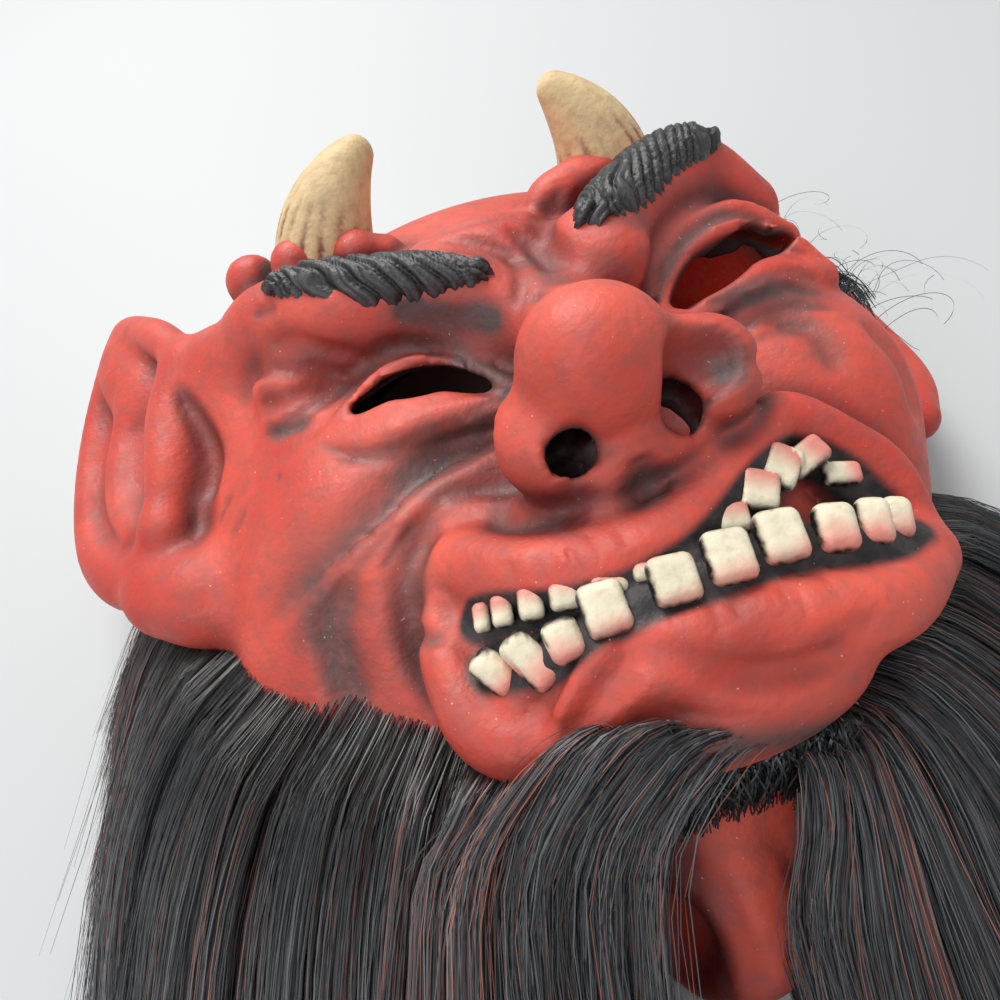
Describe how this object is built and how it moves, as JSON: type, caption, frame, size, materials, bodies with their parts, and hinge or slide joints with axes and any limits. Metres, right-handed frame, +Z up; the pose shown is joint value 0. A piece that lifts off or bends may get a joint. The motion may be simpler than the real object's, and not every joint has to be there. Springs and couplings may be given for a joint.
{
  "type": "devil mask",
  "caption": "Hollow soft-vinyl devil mask, lying face up: snarling toothed mouth, bulbous nose, tufted brows, curved horns, pointed ears and long black hair round the edge.",
  "frame": {"origin": "middle of the outline on the table, under the nose", "axes": "+Z up, away from the table and out of the face; +Y towards the crown; +X towards the mask's own left ear, which is on the right as one looks down on the face"},
  "size_m": [0.2645, 0.3287, 0.1065],
  "materials": {
    "vinyl": "matte red soft vinyl with grey-black airbrushed shading, cream teeth and tan horns",
    "hair": "long straight black fake hair with a cool sheen and a few copper strands"
  },
  "bodies": {
    "root": {"mask_shell": "vinyl", "crown_hair": "hair", "left_side_hair": "hair", "right_side_hair": "hair", "left_beard_hair": "hair", "right_beard_hair": "hair"}
  },
  "joints": []
}
